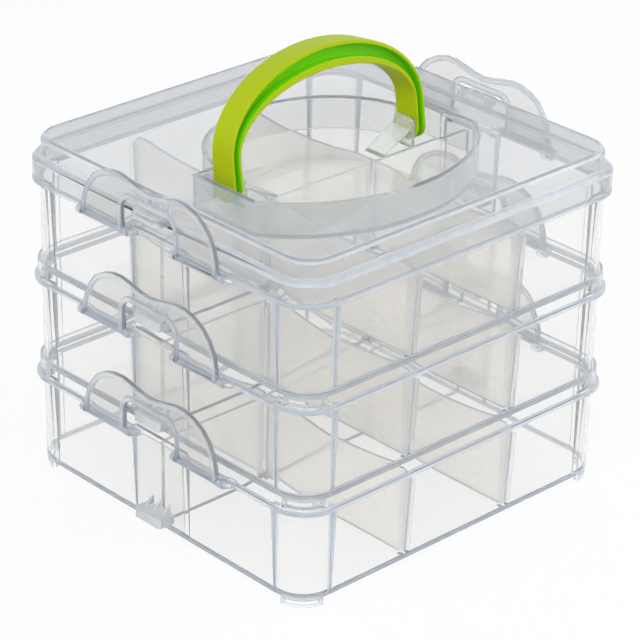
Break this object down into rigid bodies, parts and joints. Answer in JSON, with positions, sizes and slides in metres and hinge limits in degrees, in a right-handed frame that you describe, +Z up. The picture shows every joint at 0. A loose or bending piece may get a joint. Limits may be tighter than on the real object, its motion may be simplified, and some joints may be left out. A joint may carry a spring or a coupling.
{
  "type": "three-tier storage organizer",
  "caption": "Clear stacked trays with lift-out dividers, joined by snap latches at both ends, under a frosted lid with a folding carrying handle.",
  "frame": {"origin": "middle of the base, at the soles of the bottom tray's feet", "axes": "+Z up; +X towards one latched end; +Y towards the back, where the handle leans at rest, so the deep front of the handle's well is on the -Y side"},
  "size_m": [0.1686, 0.1556, 0.1715],
  "materials": {
    "clear_tray": "clear moulded plastic, glossy",
    "frosted_lid": "frosted translucent moulded plastic, satin",
    "latch": "translucent moulded plastic, glossy",
    "handle": "opaque yellow-green moulded plastic, satin gloss"
  },
  "bodies": {
    "tray_1": {"tray_1": "clear_tray", "tray_1_divider_1": "clear_tray", "tray_1_divider_2": "clear_tray", "tray_1_divider_3": "clear_tray", "tray_1_divider_4": "clear_tray"},
    "tray_2": {"tray_2": "clear_tray", "tray_2_divider_1": "clear_tray", "tray_2_divider_2": "clear_tray", "tray_2_divider_3": "clear_tray", "tray_2_divider_4": "clear_tray"},
    "tray_3": {"tray_3": "clear_tray", "tray_3_divider_1": "clear_tray", "tray_3_divider_2": "clear_tray", "tray_3_divider_3": "clear_tray", "tray_3_divider_4": "clear_tray"},
    "lid": {"lid": "frosted_lid"},
    "handle": {"handle": "handle"},
    "latch_1_right": {"latch_1_right": "latch"},
    "latch_1_left": {"latch_1_left": "latch"},
    "latch_2_right": {"latch_2_right": "latch"},
    "latch_2_left": {"latch_2_left": "latch"},
    "latch_3_right": {"latch_3_right": "latch"},
    "latch_3_left": {"latch_3_left": "latch"}
  },
  "joints": [
    {"name": "tray_2_lift", "type": "slide", "parent": "tray_1", "child": "tray_2", "axis": [0, 0, 1], "range_m": [0, 0.011]},
    {"name": "tray_3_lift", "type": "slide", "parent": "tray_2", "child": "tray_3", "axis": [0, 0, 1], "range_m": [0, 0.011]},
    {"name": "lid_lift", "type": "slide", "parent": "tray_3", "child": "lid", "axis": [0, 0, 1], "range_m": [0, 0.011]},
    {"name": "handle_fold", "type": "hinge", "parent": "lid", "child": "handle", "pos_m": [0, 0, 0.1288], "axis": [1, 0, 0], "range_deg": [0, 97.5]},
    {"name": "latch_1_right_turn", "type": "hinge", "parent": "tray_1", "child": "latch_1_right", "pos_m": [0.0819, 0, 0.0391], "axis": [0, 1, 0], "range_deg": [0, 130]},
    {"name": "latch_1_left_turn", "type": "hinge", "parent": "tray_1", "child": "latch_1_left", "pos_m": [-0.0819, 0, 0.0391], "axis": [0, -1, 0], "range_deg": [0, 130]},
    {"name": "latch_2_right_turn", "type": "hinge", "parent": "tray_2", "child": "latch_2_right", "pos_m": [0.0819, 0, 0.0789], "axis": [0, 1, 0], "range_deg": [0, 130]},
    {"name": "latch_2_left_turn", "type": "hinge", "parent": "tray_2", "child": "latch_2_left", "pos_m": [-0.0819, 0, 0.0789], "axis": [0, -1, 0], "range_deg": [0, 130]},
    {"name": "latch_3_right_turn", "type": "hinge", "parent": "tray_3", "child": "latch_3_right", "pos_m": [0.0819, 0, 0.1187], "axis": [0, 1, 0], "range_deg": [0, 130]},
    {"name": "latch_3_left_turn", "type": "hinge", "parent": "tray_3", "child": "latch_3_left", "pos_m": [-0.0819, 0, 0.1187], "axis": [0, -1, 0], "range_deg": [0, 130]}
  ],
  "couplings": [
    {"joint": "latch_1_right_turn", "follows": "tray_2_lift", "rad_per_m": 206},
    {"joint": "latch_1_left_turn", "follows": "tray_2_lift", "rad_per_m": 206},
    {"joint": "latch_2_right_turn", "follows": "tray_3_lift", "rad_per_m": 206},
    {"joint": "latch_2_left_turn", "follows": "tray_3_lift", "rad_per_m": 206},
    {"joint": "latch_3_right_turn", "follows": "lid_lift", "rad_per_m": 206},
    {"joint": "latch_3_left_turn", "follows": "lid_lift", "rad_per_m": 206}
  ]
}
